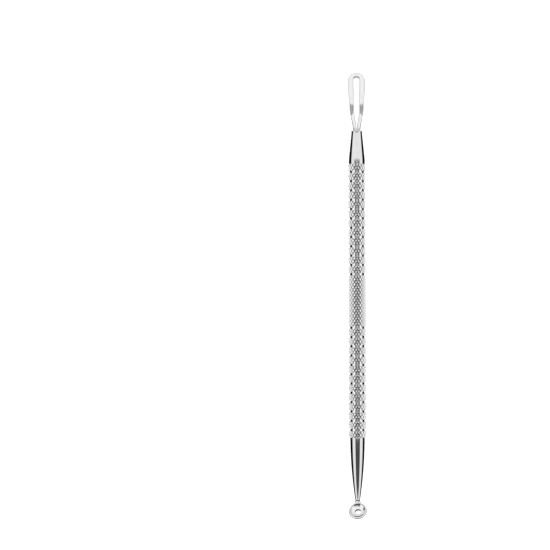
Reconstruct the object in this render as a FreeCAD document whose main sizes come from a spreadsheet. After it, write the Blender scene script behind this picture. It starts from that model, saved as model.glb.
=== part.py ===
import FreeCAD, Part
import math
import os
import Sketcher

# Blackhead extractor lying on a table: knurled grip along Y, wire loop at +Y, dished cup at -Y.
# The origin is on the table, midway along the tool, under the grip's axis.

Vector = FreeCAD.Vector

# Driving sizes: millimetres, degrees for the dip, the tilt and the roll, plain counts for the grooves.
SIZES = [
    ("grip_length", 73.6, "grip tube from end to end"),
    ("grip_diameter", 4.6, "over the crests of the knurl"),
    ("grip_bore", 2.6, "inside of the grip tube"),
    ("grip_bevel", 0.15, "bevel at both ends of the grip"),
    ("groove_width", 0.6, "ring groove along the grip"),
    ("groove_depth", 0.42, "ring groove below the crests"),
    ("groove_pitch", 2.5, "between neighbouring ring grooves"),
    ("groove_count", 12, "ring grooves in each of the two sets"),
    ("knurl_lead", 20.91, "one turn of a knurl groove, along the grip"),
    ("knurl_starts", 3, "main knurl grooves of each hand"),
    ("knurl_depth", 0.3, "knurl groove below the crests"),
    ("knurl_width", 1.2, "knurl groove at the crests, along the grip"),
    ("loop_side_margin", 2.15, "grip end to the middle of the first groove at the loop"),
    ("cup_side_margin", 2.1, "grip end to the middle of the first groove at the cup"),
    ("spigot_length", 7.0, "ferrule spigot inside the grip"),
    ("fit_clearance", 0.02, "all round a spigot, stem or wire in its hole"),
    ("loop_taper_length", 8.9, "loop ferrule outside the grip"),
    ("loop_taper_base", 4.3, "loop ferrule diameter at the grip"),
    ("loop_taper_mouth", 2.85, "loop ferrule diameter at its mouth"),
    ("base_land", 1.2, "straight stretch of the loop ferrule at the grip"),
    ("mouth_land", 0.5, "straight stretch of the loop ferrule at its mouth"),
    ("cup_taper_length", 16.75, "cup ferrule outside the grip"),
    ("cup_taper_base", 3.9, "cup ferrule diameter at the grip"),
    ("cup_taper_tip", 1.3, "cup ferrule diameter at its tip"),
    ("cup_taper_bulge", 0.31, "height of the cup ferrule's side arc over its chord"),
    ("wire_diameter", 0.93, "round wire of the loop"),
    ("wire_gap", 0.1, "between the two tails"),
    ("tail_length", 6.5, "wire tails inside the loop ferrule"),
    ("loop_reach", 15.95, "ferrule mouth to the tip of the loop, along the tool"),
    ("loop_width", 4.62, "across the loop"),
    ("ribbon_width", 1.48, "flattened wire, across"),
    ("ribbon_thickness", 0.55, "flattened wire, through"),
    ("flat_start", 1.0, "from the mouth to where the wire begins to flatten"),
    ("flat_end", 5.0, "from the mouth to where the wire is down to its thickness"),
    ("wide_end", 9.5, "from the mouth to where the wire has its full width"),
    ("shoulder_reach", 6.2, "from the mouth to the shoulder of the loop"),
    ("shoulder_spread", 2.6, "between the wire's middles at the shoulder"),
    ("leg_dip", 7.0, "slope of the legs down from the mouth"),
    ("dip_end", 3.3, "from the mouth to where the legs begin to level out"),
    ("bend_start", 6.2, "from the mouth to where the loop begins to bend down"),
    ("bend_run", 1.6, "length of wire that the bends at both ends of the dip take up"),
    ("fall_run", 3.6, "length of wire that the last bend takes up"),
    ("solder_wall", 0.12, "least filler between the tails and the bore"),
    ("solder_depth", 1.2, "filler plug along the bore"),
    ("solder_sink", 0.1, "filler surface below the metal beside it"),
    ("joint_gap", 0.27, "filler ring between cup ferrule and cup"),
    ("stem_diameter", 0.8, "cup stem"),
    ("stem_length", 3.2, "cup stem from the neck into the cup ferrule"),
    ("neck_length", 0.45, "flared neck from the joint to the cup's rim"),
    ("neck_width", 2.1, "neck where it runs into the rim"),
    ("cup_width", 4.82, "rim of the cup, across the tool"),
    ("cup_length", 5.21, "rim of the cup, along its own slope"),
    ("cup_wall", 0.6, "wall and round lip of the cup"),
    ("bowl_radius", 2.6, "hollow of the cup, across the tool"),
    ("hole_diameter", 1.5, "hole through the cup"),
    ("cup_tilt", 38.0, "mouth of the cup, from straight up towards the grip"),
    ("cup_roll", 8.0, "mouth of the cup, sideways about the tool's axis"),
]

doc = FreeCAD.newDocument("BlackheadExtractor")
sheet = doc.addObject("Spreadsheet::Sheet", "Sizes")
for row, (alias, number, note) in enumerate(SIZES, 1):
    sheet.set(f"A{row}", note)
    sheet.set(f"B{row}", str(number))
    sheet.setAlias(f"B{row}", alias)
doc.recompute()


def value(expression):
    """The number that an expression on the sheet gives."""
    return float(sheet.evalExpression(expression))


def size(alias):
    """One driving size as a number."""
    return float(sheet.get(alias))


# Places along the tool, as expressions on the sheet.
STRETCH = "(Sizes.cup_length / Sizes.cup_width)"
RIM_RADIUS = "((Sizes.cup_width - Sizes.cup_wall) / 2)"
RIM_RUN = f"({STRETCH} * {RIM_RADIUS} * cos(Sizes.cup_tilt))"
LIP_RUN = f"(Sizes.cup_wall / 2 * sqrt(({STRETCH} * cos(Sizes.cup_tilt))^2 + sin(Sizes.cup_tilt)^2))"
CUP_REACH = f"(Sizes.neck_length + 2 * ({RIM_RUN} + {LIP_RUN}))"
OVERALL = ("(Sizes.loop_reach + Sizes.loop_taper_length + Sizes.grip_length"
           f" + Sizes.cup_taper_length + Sizes.joint_gap + {CUP_REACH})")
MOUTH_Y = f"({OVERALL} / 2 - Sizes.loop_reach)"
GRIP_LOOP_Y = f"({MOUTH_Y} - Sizes.loop_taper_length)"
GRIP_CUP_Y = f"({GRIP_LOOP_Y} - Sizes.grip_length)"
TIP_Y = f"({GRIP_CUP_Y} - Sizes.cup_taper_length)"
JOINT_Y = f"({TIP_Y} - Sizes.joint_gap)"
AXIS_Z = "(Sizes.grip_diameter / 2)"

# Fits shared by two pieces, as expressions on the sheet.
SPIGOT_RADIUS = "(Sizes.grip_bore / 2 - Sizes.fit_clearance)"
TAIL_OFFSET = "((Sizes.wire_diameter + Sizes.wire_gap) / 2)"
WIRE_BORE_RADIUS = f"({TAIL_OFFSET} + Sizes.wire_diameter / 2 + Sizes.fit_clearance + Sizes.solder_wall)"
SOCKET_RADIUS = "(Sizes.stem_diameter / 2 + Sizes.fit_clearance)"


def new_body(label, y, turned=False):
    """A body whose own Y axis lies on the tool's axis from y, pointing to the cup if turned."""
    body = doc.addObject("PartDesign::Body", label)
    body.Label = label
    body.Placement = FreeCAD.Placement(Vector(), FreeCAD.Rotation(Vector(0, 0, 1), 180 if turned else 0))
    body.setExpression("Placement.Base.y", y)
    body.setExpression("Placement.Base.z", AXIS_Z)
    return body


def new_sketch(body, name, role):
    """An empty sketch on one of the body's own planes."""
    sketch = body.newObject("Sketcher::SketchObject", name)
    plane = next(item for item in body.Origin.OriginFeatures if item.Role == role)
    sketch.AttachmentSupport = [(plane, "")]
    sketch.MapMode = "FlatFace"
    return sketch


def bind(sketch, constraint, expression):
    """Add a driving constraint and tie it to an expression."""
    index = sketch.addConstraint(constraint)
    sketch.setExpression(f"Constraints[{index}]", expression)


def pin_corner(sketch, edge, x, y):
    """Tie an edge's start to the radius x and the place y along the axis."""
    if x == "0":
        sketch.addConstraint(Sketcher.Constraint("PointOnObject", edge, 1, -2))
    else:
        bind(sketch, Sketcher.Constraint("DistanceX", -1, 1, edge, 1, value(x)), x)
    if y == "0":
        sketch.addConstraint(Sketcher.Constraint("PointOnObject", edge, 1, -1))
    else:
        bind(sketch, Sketcher.Constraint("DistanceY", -1, 1, edge, 1, value(y)), y)


def arc_between(start, end, radius):
    """The shallow arc of that radius from start to end, bulging to the right of the way."""
    chord = end - start
    sagitta = radius - math.sqrt(radius**2 - chord.Length**2 / 4)
    outward = Vector(chord.y, -chord.x, 0).normalize()
    return Part.Arc(start, (start + end) / 2 + outward * sagitta, end)


def draw_outline(sketch, corners, arcs=None):
    """A closed outline through (radius, place) corners, anticlockwise; arcs maps an edge to its radius."""
    arcs = arcs or {}
    points = [Vector(value(x), value(y), 0) for x, y in corners]
    first = sketch.GeometryCount
    for i, start in enumerate(points):
        end = points[(i + 1) % len(points)]
        edge = arc_between(start, end, value(arcs[i])) if i in arcs else Part.LineSegment(start, end)
        sketch.addGeometry(edge)
    for i, (x, y) in enumerate(corners):
        following = first + (i + 1) % len(corners)
        sketch.addConstraint(Sketcher.Constraint("Coincident", first + i, 2, following, 1))
        pin_corner(sketch, first + i, x, y)
        if i in arcs:
            bind(sketch, Sketcher.Constraint("Radius", first + i, value(arcs[i])), arcs[i])


def turn(body, kind, name, sketch):
    """Turn a sketch right round the tool's axis, adding (Revolution) or cutting (Groove)."""
    feature = body.newObject(kind, name)
    feature.Profile = sketch
    feature.ReferenceAxis = (sketch, ["V_Axis"])
    feature.Angle = 360
    return feature


def turn_grip():
    """Tube with bevelled ends and two sets of ring grooves, whose outer face is at the knurl's crests."""
    body = new_body("turned_grip", GRIP_CUP_Y)
    inner = "Sizes.grip_bore / 2"
    outer = "Sizes.grip_diameter / 2"
    shoulder = "Sizes.grip_diameter / 2 - Sizes.grip_bevel"
    outline = new_sketch(body, "GripOutline", "XY_Plane")
    draw_outline(outline, [
        (inner, "0"),
        (shoulder, "0"),
        (outer, "Sizes.grip_bevel"),
        (outer, "Sizes.grip_length - Sizes.grip_bevel"),
        (shoulder, "Sizes.grip_length"),
        (inner, "Sizes.grip_length"),
    ])
    turn(body, "PartDesign::Revolution", "GripTube", outline)
    doc.recompute()
    tube_volume = body.Shape.Volume

    set_length = "Sizes.groove_pitch * (Sizes.groove_count - 1)"
    floor = "Sizes.grip_diameter / 2 - Sizes.groove_depth"
    past_crests = "Sizes.grip_diameter / 2 + Sizes.groove_depth"
    rings = new_sketch(body, "RingOutlines", "XY_Plane")
    for middle in ("Sizes.cup_side_margin", f"Sizes.grip_length - Sizes.loop_side_margin - {set_length}"):
        low = f"{middle} - Sizes.groove_width / 2"
        high = f"{middle} + Sizes.groove_width / 2"
        draw_outline(rings, [(floor, low), (past_crests, low), (past_crests, high), (floor, high)])
    groove = turn(body, "PartDesign::Groove", "FirstRings", rings)
    doc.recompute()
    ring_sets = body.newObject("PartDesign::LinearPattern", "RingSets")
    ring_sets.Originals = [groove]
    ring_sets.Direction = (rings, ["V_Axis"])
    ring_sets.setExpression("Length", set_length)
    ring_sets.setExpression("Occurrences", "Sizes.groove_count")
    body.Tip = ring_sets
    doc.recompute()
    floor_radius = value(floor)
    one_ring = math.pi * (size("grip_diameter")**2 / 4 - floor_radius**2) * size("groove_width")
    expected = tube_volume - 2 * size("groove_count") * one_ring
    if abs(body.Shape.Volume - expected) > 1e-4 * expected:
        raise RuntimeError("the ring grooves did not all cut")
    return body


def knurl_stretches():
    """Middles and lengths of the stretches from ring to ring; the middle of the grip stays round for a clamp."""
    pitch = size("groove_pitch")
    length = size("grip_length")
    steps = range(int(size("groove_count")))
    cup_side = [size("cup_side_margin") + pitch * i for i in steps]
    loop_side = [length - size("loop_side_margin") - pitch * i for i in reversed(steps)]
    stretches = []
    for bounds in ([0.0] + cup_side, loop_side + [length]):
        stretches += [((start + end) / 2, end - start) for start, end in zip(bounds, bounds[1:])]
    return stretches


def knurl_bar(middle, length, turned, hand):
    """Straight bar of V section that cuts one stretch of a knurl groove, along its helix at the middle.

    The floor of the cut is straight under a round face, so it is set lower by a third of the
    face's drop over half the stretch, which gives the groove its depth on average.
    """
    crest = size("grip_diameter") / 2
    depth = size("knurl_depth")
    slant = math.atan(2 * math.pi * crest / size("knurl_lead"))
    drop = (length / 2 * math.tan(slant))**2 / (2 * crest)
    floor = crest - depth - drop / 3
    top = crest + depth
    half = size("knurl_width") / 2 * math.cos(slant) * (top - floor) / depth
    reach = length / math.cos(slant) / 2
    corners = [Vector(0, -reach, floor), Vector(half, -reach, top), Vector(-half, -reach, top)]
    bar = Part.Face(Part.makePolygon(corners + corners[:1])).extrude(Vector(0, 2 * reach, 0))
    bar.rotate(Vector(), Vector(0, 0, 1), -hand * math.degrees(slant))
    bar.rotate(Vector(), Vector(0, 1, 0), turned)
    bar.translate(Vector(0, middle, 0))
    return bar


def make_grip():
    """Turned grip with the main grooves of its diamond knurl, which cross on helices of both hands."""
    body = turn_grip()
    shape = body.Shape.copy()
    shape.Placement = FreeCAD.Placement()
    starts = int(size("knurl_starts"))
    for hand in (1, -1):
        bars = []
        for middle, length in knurl_stretches():
            climbed = hand * middle / size("knurl_lead")
            bars += [knurl_bar(middle, length, 360 * (i / starts + climbed), hand) for i in range(starts)]
        shape = shape.cut(bars)
    grip = doc.addObject("Part::Feature", "knurled_grip")
    grip.Label = "knurled_grip"
    grip.Shape = shape
    grip.Placement = body.Placement
    return grip


def make_loop_ferrule():
    """Spigot, straight cone between two lands, and the blind bore that takes both wire tails."""
    body = new_body("loop_ferrule", f"{GRIP_LOOP_Y} - Sizes.spigot_length")
    shoulder = "Sizes.spigot_length"
    mouth = "Sizes.spigot_length + Sizes.loop_taper_length"
    bore_floor = f"{mouth} - Sizes.tail_length - Sizes.fit_clearance"
    outline = new_sketch(body, "LoopFerruleOutline", "XY_Plane")
    draw_outline(outline, [
        ("0", "0"),
        (SPIGOT_RADIUS, "0"),
        (SPIGOT_RADIUS, shoulder),
        ("Sizes.loop_taper_base / 2", shoulder),
        ("Sizes.loop_taper_base / 2", f"{shoulder} + Sizes.base_land"),
        ("Sizes.loop_taper_mouth / 2", f"{mouth} - Sizes.mouth_land"),
        ("Sizes.loop_taper_mouth / 2", mouth),
        (WIRE_BORE_RADIUS, mouth),
        (WIRE_BORE_RADIUS, bore_floor),
        ("0", bore_floor),
    ])
    turn(body, "PartDesign::Revolution", "LoopFerruleTurned", outline)
    return body


def make_cup_ferrule():
    """Spigot, long side arc down to a slim tip, and the blind socket that takes the cup's stem."""
    body = new_body("cup_ferrule", f"{GRIP_CUP_Y} + Sizes.spigot_length", turned=True)
    shoulder = "Sizes.spigot_length"
    tip = "Sizes.spigot_length + Sizes.cup_taper_length"
    socket_floor = f"{tip} + Sizes.joint_gap - Sizes.stem_length - Sizes.fit_clearance"
    half_chord = "(Sizes.cup_taper_length^2 + ((Sizes.cup_taper_base - Sizes.cup_taper_tip) / 2)^2) / 4"
    side_radius = f"({half_chord} + Sizes.cup_taper_bulge^2) / (2 * Sizes.cup_taper_bulge)"
    outline = new_sketch(body, "CupFerruleOutline", "XY_Plane")
    corners = [
        ("0", "0"),
        (SPIGOT_RADIUS, "0"),
        (SPIGOT_RADIUS, shoulder),
        ("Sizes.cup_taper_base / 2", shoulder),
        ("Sizes.cup_taper_tip / 2", tip),
        (SOCKET_RADIUS, tip),
        (SOCKET_RADIUS, socket_floor),
        ("0", socket_floor),
    ]
    draw_outline(outline, corners, arcs={3: side_radius})
    turn(body, "PartDesign::Revolution", "CupFerruleTurned", outline)
    return body


def make_cup_solder():
    """Thin ring round the stem, a little slimmer than the tip and the neck that it joins."""
    body = new_body("cup_solder", JOINT_Y)
    rim = "Sizes.cup_taper_tip / 2 - Sizes.solder_sink"
    outline = new_sketch(body, "CupSolderOutline", "XY_Plane")
    draw_outline(outline, [
        (SOCKET_RADIUS, "0"),
        (rim, "0"),
        (rim, "Sizes.joint_gap"),
        (SOCKET_RADIUS, "Sizes.joint_gap"),
    ])
    turn(body, "PartDesign::Revolution", "CupSolderTurned", outline)
    return body


def make_loop_solder():
    """Plug in the mouth of the loop ferrule, with a round hole for each wire tail."""
    body = new_body("loop_solder", f"{MOUTH_Y} - Sizes.solder_sink - Sizes.solder_depth")
    plug_radius = f"({WIRE_BORE_RADIUS} - Sizes.fit_clearance)"
    hole_radius = "(Sizes.wire_diameter / 2 + Sizes.fit_clearance)"
    offset = value(TAIL_OFFSET)
    outline = new_sketch(body, "LoopSolderOutline", "XZ_Plane")
    for middle, radius in ((0, plug_radius), (offset, hole_radius), (-offset, hole_radius)):
        outline.addGeometry(Part.Circle(Vector(middle, 0, 0), Vector(0, 0, 1), value(radius)))
    outline.addConstraint(Sketcher.Constraint("Coincident", 0, 3, -1, 1))
    outline.addConstraint(Sketcher.Constraint("PointOnObject", 1, 3, -1))
    outline.addConstraint(Sketcher.Constraint("Symmetric", 1, 3, 2, 3, -1, 1))
    outline.addConstraint(Sketcher.Constraint("Equal", 1, 2))
    bind(outline, Sketcher.Constraint("Radius", 0, value(plug_radius)), plug_radius)
    bind(outline, Sketcher.Constraint("Radius", 1, value(hole_radius)), hole_radius)
    bind(outline, Sketcher.Constraint("DistanceX", 2, 3, 1, 3, 2 * offset), f"2 * {TAIL_OFFSET}")
    plug = body.newObject("PartDesign::Pad", "LoopSolderPlug")
    plug.Profile = outline
    plug.Reversed = True
    plug.setExpression("Length", "Sizes.solder_depth")
    return body


def ease(share):
    """Smooth step from 0 to 1 with flat ends."""
    share = min(max(share, 0.0), 1.0)
    return share * share * (3 - 2 * share)


def leg_slope(place, fall):
    """Slope of the loop, downwards, at a place on the wire counted from the ferrule's mouth."""
    run = size("bend_run")
    dip = ease(place / run) - ease((place - size("dip_end")) / run)
    return math.radians(size("leg_dip")) * dip + fall * ease((place - size("bend_start")) / size("fall_run"))


def middle_line(fall, step, steps):
    """Middle plane of the loop from the mouth on, as (along, up) points one step of wire apart."""
    line = [(0.0, 0.0)]
    for i in range(steps):
        slope = leg_slope((i + 0.5) * step, fall)
        along, up = line[-1]
        line.append((along + step * math.cos(slope), up - step * math.sin(slope)))
    return line


def rest_on_table(step, steps):
    """Slope and length of the straight end of the loop that lay its tip on the table beside the grip.

    The straight end runs from the last bend to the middle of the wire at the tip. The flattened
    section is an ellipse, so its reach and drop past that middle are those of a tilted ellipse.
    """
    half_width = size("ribbon_width") / 2
    half_depth = size("ribbon_thickness") / 2
    low, high = 0.0, math.radians(60)
    for _ in range(60):
        fall = (low + high) / 2
        along, up = middle_line(fall, step, steps)[-1]
        past_reach = math.hypot(half_width * math.cos(fall), half_depth * math.sin(fall))
        past_drop = math.hypot(half_width * math.sin(fall), half_depth * math.cos(fall))
        straight = (size("loop_reach") - past_reach - along) / math.cos(fall)
        if straight * math.sin(fall) + past_drop - up < value(AXIS_Z):
            low = fall
        else:
            high = fall
    return fall, straight


def make_wire_loop():
    """One hairpin of wire: round tails, legs that spread, flatten and bend down, and a half-round tip.

    Places along the wire are counted on the unbent loop from the ferrule's mouth. The legs are
    ruled through ellipses, the tip is an ellipse turned half round the middle of the end arc.
    """
    bend_end = size("bend_start") + size("fall_run")
    steps = 200
    step = bend_end / steps
    fall, straight = rest_on_table(step, steps)
    line = middle_line(fall, step, steps)
    tip_radius = (size("loop_width") - size("ribbon_width")) / 2
    tip_centre = bend_end + straight - tip_radius
    shoulder = size("shoulder_reach")
    tail_offset = value(TAIL_OFFSET)
    shoulder_offset = size("shoulder_spread") / 2

    def bent(place):
        """Middle plane of the loop at a place: along the tool, up, and its slope there."""
        if place <= 0:
            return place, 0.0, 0.0
        i = min(int(place / step), steps - 1)
        along, up = line[i]
        if place >= bend_end:
            along, up = line[-1]
            i = steps
        slope = leg_slope(place, fall)
        ahead = place - i * step
        return along + ahead * math.cos(slope), up - ahead * math.sin(slope), slope

    def offset(place):
        """Middle of the leg from the tool's axis at a place."""
        to_shoulder = ease(place / shoulder) * (shoulder_offset - tail_offset)
        to_tip = ease((place - shoulder) / (tip_centre - shoulder)) * (tip_radius - shoulder_offset)
        return tail_offset + to_shoulder + to_tip

    def section(place):
        """Ellipse across the leg on the right at a place."""
        along, up, slope = bent(place)
        ahead = Vector(0, math.cos(slope), -math.sin(slope))
        upward = Vector(0, math.sin(slope), math.cos(slope))
        step = 0.01
        lean = (offset(place + step) - offset(place - step)) / (2 * step)
        across = (Vector(1, 0, 0) - ahead * lean).normalize()
        flat = ease((place - size("flat_start")) / (size("flat_end") - size("flat_start")))
        wide = ease((place - size("flat_start")) / (size("wide_end") - size("flat_start")))
        width = size("wire_diameter") + wide * (size("ribbon_width") - size("wire_diameter"))
        depth = size("wire_diameter") + flat * (size("ribbon_thickness") - size("wire_diameter"))
        # An ellipse needs its second radius below its first, so the round stretch is a hair flat.
        depth = min(depth, width * 0.9999)
        middle = Vector(offset(place), along, up)
        ellipse = Part.Ellipse(middle + across * (width / 2), middle + upward * (depth / 2), middle)
        return Part.Wire(ellipse.toShape())

    places = [-size("tail_length")] + [tip_centre * i / 32 for i in range(33)]
    leg = Part.makeLoft([section(place) for place in places], True, True)
    along, up, slope = bent(tip_centre)
    upward = Vector(0, math.sin(slope), math.cos(slope))
    quarter = Part.Face(section(tip_centre)).revolve(Vector(0, along, up), upward, 90)
    half = leg.fuse(quarter)
    loop = doc.addObject("Part::Feature", "wire_loop")
    loop.Label = "wire_loop"
    loop.Shape = half.fuse(half.mirror(Vector(), Vector(1, 0, 0)))
    loop.Placement = FreeCAD.Placement(Vector(0, value(MOUTH_Y), value(AXIS_Z)), FreeCAD.Rotation())
    return loop


def make_cup():
    """Dished cup with a round lip, drain hole, flared neck and stem, drawn from the joint on the axis.

    The dish is a spherical shell with a half-round lip, turned about the mouth's axis and stretched
    along the slope of the rim; the neck runs from the round joint into the rim's near side.
    """
    wall = size("cup_wall")
    stretch = value(STRETCH)
    rim_radius = value(RIM_RADIUS)
    hollow = size("bowl_radius")
    middle = hollow + wall / 2
    outer = hollow + wall
    rim_angle = math.asin(rim_radius / middle)
    centre_height = middle * math.cos(rim_angle)

    def shell_point(radius, turn_angle):
        """Point of the dish's section at a radius from the sphere's centre, turned up from the bottom."""
        return Vector(radius * math.sin(turn_angle), 0, centre_height - radius * math.cos(turn_angle))

    lip_top = Vector(rim_radius + wall / 2 * math.cos(rim_angle), 0, wall / 2 * math.sin(rim_angle))
    outside = Part.Arc(shell_point(outer, 0), shell_point(outer, rim_angle / 2), shell_point(outer, rim_angle))
    lip = Part.Arc(shell_point(outer, rim_angle), lip_top, shell_point(hollow, rim_angle))
    inside = Part.Arc(shell_point(hollow, rim_angle), shell_point(hollow, rim_angle / 2), shell_point(hollow, 0))
    bottom = Part.LineSegment(shell_point(hollow, 0), shell_point(outer, 0))
    section = Part.Wire([edge.toShape() for edge in (outside, lip, inside, bottom)])
    dish = Part.Face(section).revolve(Vector(), Vector(0, 0, 1), 360)
    hollow_ball = Part.makeSphere(hollow, Vector(0, 0, centre_height))
    lengthen = FreeCAD.Matrix()
    lengthen.scale(1, stretch, 1)

    tilt = FreeCAD.Rotation(Vector(1, 0, 0), -size("cup_tilt"))
    roll = FreeCAD.Rotation(Vector(0, 1, 0), -size("cup_roll"))
    turned = roll.multiply(tilt)
    near_side = turned.multVec(Vector(0, stretch * rim_radius, 0))
    rim_y = -size("neck_length") - value(LIP_RUN)
    rim_middle = Vector(0, rim_y - near_side.y, -near_side.z)
    place = FreeCAD.Placement(rim_middle, turned)
    dish = dish.transformGeometry(lengthen)
    dish.Placement = place
    hollow_ball = hollow_ball.transformGeometry(lengthen)
    hollow_ball.Placement = place

    backwards = Vector(0, -1, 0)
    joint = Part.Wire(Part.Circle(Vector(), backwards, size("cup_taper_tip") / 2).toShape())
    neck_end = Vector(0, rim_y, 0)
    half_width = Vector(size("neck_width") / 2, 0, 0)
    half_depth = Vector(0, 0, wall / 2 - size("solder_sink"))
    flare = Part.Wire(Part.Ellipse(neck_end + half_width, neck_end + half_depth, neck_end).toShape())
    neck = Part.makeLoft([joint, flare], True, True).cut(hollow_ball)
    stem = Part.makeCylinder(size("stem_diameter") / 2, size("stem_length"), Vector(), Vector(0, 1, 0))

    mouth_axis = turned.multVec(Vector(0, 0, 1))
    drill_start = rim_middle - mouth_axis * outer
    hole = Part.makeCylinder(size("hole_diameter") / 2, outer, drill_start, mouth_axis)
    cup = doc.addObject("Part::Feature", "extractor_cup")
    cup.Label = "extractor_cup"
    cup.Shape = dish.fuse([neck, stem]).cut(hole).removeSplitter()
    cup.Placement = FreeCAD.Placement(Vector(0, value(JOINT_Y), value(AXIS_Z)), FreeCAD.Rotation())
    return cup


nodes = [
    make_grip(),
    make_loop_ferrule(),
    make_cup_ferrule(),
    make_wire_loop(),
    make_loop_solder(),
    make_cup(),
    make_cup_solder(),
]
doc.recompute()

for item in doc.Objects:
    if "Invalid" in item.State or "Error" in item.State:
        raise RuntimeError(f"{item.Label} did not compute")
for node in nodes:
    if node.Shape.isNull() or not node.Shape.isValid():
        raise RuntimeError(f"{node.Label} has no valid shape")
    if len(node.Shape.Solids) != 1:
        raise RuntimeError(f"{node.Label} is not one solid")

os.makedirs("parts", exist_ok=True)
for node in nodes:
    node.Shape.exportStep(f"parts/{node.Label}.step")
    box = node.Shape.BoundBox
    print(f"{node.Label}: {node.Shape.Volume:.2f} mm3, x {box.XMin:.2f} to {box.XMax:.2f},"
          f" y {box.YMin:.2f} to {box.YMax:.2f}, z {box.ZMin:.2f} to {box.ZMax:.2f}")
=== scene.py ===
import math

import bpy
import numpy as np
from bpy.props import FloatProperty, FloatVectorProperty, IntProperty, PointerProperty
from bpy.types import Operator, Panel, PropertyGroup
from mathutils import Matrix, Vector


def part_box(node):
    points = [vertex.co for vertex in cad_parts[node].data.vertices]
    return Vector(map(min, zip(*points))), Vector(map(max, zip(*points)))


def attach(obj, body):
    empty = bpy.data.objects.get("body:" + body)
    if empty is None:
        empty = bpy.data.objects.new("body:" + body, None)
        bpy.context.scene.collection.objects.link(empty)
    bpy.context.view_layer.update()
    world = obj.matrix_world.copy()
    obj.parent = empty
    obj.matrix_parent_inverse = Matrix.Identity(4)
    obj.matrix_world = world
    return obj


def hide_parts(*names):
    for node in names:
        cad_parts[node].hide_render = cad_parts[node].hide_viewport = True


bl_info = {
    "name": "Blackhead extractor",
    "version": (1, 0, 0),
    "blender": (4, 5, 0),
    "location": "View3D > Sidebar > Extractor",
    "description": "Builds the visible skins, steel finishes and white table of a double-ended extractor",
    "category": "Object",
}

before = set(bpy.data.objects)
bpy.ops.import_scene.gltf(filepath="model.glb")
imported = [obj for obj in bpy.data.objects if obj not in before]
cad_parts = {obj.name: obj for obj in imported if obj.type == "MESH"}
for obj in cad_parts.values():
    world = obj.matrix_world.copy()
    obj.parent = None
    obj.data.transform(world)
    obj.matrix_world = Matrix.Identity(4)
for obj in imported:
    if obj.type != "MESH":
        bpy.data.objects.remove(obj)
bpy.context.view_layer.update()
MM = 0.001
GRIP_LOW, GRIP_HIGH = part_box("knurled_grip")
LOOP_FERRULE_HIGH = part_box("loop_ferrule")[1]
CUP_FERRULE_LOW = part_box("cup_ferrule")[0]
LOOP_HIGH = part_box("wire_loop")[1]
AXIS_HEIGHT = (GRIP_LOW.z + GRIP_HIGH.z) / 2

# Points of the surfaces
KNURL_STEPS = 8  # rows to a knurl pitch, and columns to a diamond
FERRULE_COLUMNS = 128
FERRULE_SIDE_ROWS = 64
WIRE_STEPS = 140  # along each leg of the loop
WIRE_COLUMNS = 56
BEND_STEPS = 400
DISH_COLUMNS = 192
DISH_ROWS = 70  # along each of the cup's two arcs
LIP_ROWS = 26
HOLE_ROWS = 8
NECK_COLUMNS = 72
NECK_ROWS = 24
PLUG_COLUMNS = 96
PLUG_ROWS = 28
JOINT_COLUMNS = 72
JOINT_ROWS = 14


def length(name, millimetres, description):
    """A length property, given in millimetres."""
    return FloatProperty(name=name, description=description, default=millimetres * MM, unit="LENGTH",
                         precision=5)


def share(name, default, description):
    """A property between nought and one."""
    return FloatProperty(name=name, description=description, default=default, min=0.0, max=1.0,
                         subtype="FACTOR")


def angle(name, degrees, description):
    """An angle property, given in degrees."""
    return FloatProperty(name=name, description=description, default=math.radians(degrees), subtype="ANGLE")


def colour(name, rgb, description):
    """A colour property."""
    return FloatVectorProperty(name=name, description=description, default=rgb, size=3, min=0.0, max=1.0,
                               subtype="COLOR")


class GripSettings(PropertyGroup):
    """Sizes of the knurled grip tube."""
    bore: length("Bore", 2.6, "Inside diameter of the tube")
    bevel: length("End bevel", 0.15, "Bevel at both ends")
    diamonds: IntProperty(name="Diamonds", description="Knurl diamonds in one turn", default=15, min=6)
    pitch: length("Diamond pitch", 1.394, "Knurl pitch along the grip")
    depth: length("Knurl depth", 0.3, "Valleys below the crests")
    crest: share("Crest flat", 0.25, "Share of each diamond's height that is worn flat")
    ring_width: length("Ring width", 0.6, "Width of a ring groove")
    ring_depth: length("Ring depth", 0.42, "Depth of a ring groove below the crests")
    ring_pitch: length("Ring pitch", 2.5, "Between neighbouring ring grooves")
    ring_count: IntProperty(name="Rings", description="Ring grooves in each set", default=12, min=1)
    loop_margin: length("Loop margin", 2.15, "Loop end of the grip to its first ring")
    cup_margin: length("Cup margin", 2.1, "Cup end of the grip to its first ring")


class FerruleSettings(PropertyGroup):
    """Sizes of the two tapered ferrules."""
    spigot: length("Spigot length", 7.0, "Spigot inside the grip")
    spigot_diameter: length("Spigot diameter", 2.56, "Diameter of both spigots")
    loop_base: length("Loop base", 4.3, "Loop ferrule diameter at the grip")
    loop_mouth: length("Loop mouth", 2.85, "Loop ferrule diameter at its mouth")
    base_land: length("Base land", 1.2, "Straight stretch at the grip")
    mouth_land: length("Mouth land", 0.5, "Straight stretch at the mouth")
    base_blend: length("Base blend", 0.9, "Rounding from the base land to the cone")
    mouth_blend: length("Mouth blend", 0.18, "Rounding from the cone to the mouth land")
    wire_bore: length("Wire bore", 2.24, "Bore that takes the wire tails")
    wire_bore_depth: length("Wire bore depth", 6.5, "From the mouth to the bottom of the bore")
    cup_base: length("Cup base", 3.9, "Cup ferrule diameter at the grip")
    cup_tip: length("Cup tip", 1.3, "Cup ferrule diameter at its tip")
    bulge: length("Side bulge", 0.31, "Height of the cup ferrule's side arc over its chord")
    socket: length("Stem socket", 0.84, "Socket that takes the cup's stem")
    socket_depth: length("Socket depth", 3.07, "From the tip to the bottom of the socket")
    edge: length("Edge radius", 0.06, "Rounding of the turned edges")


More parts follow.
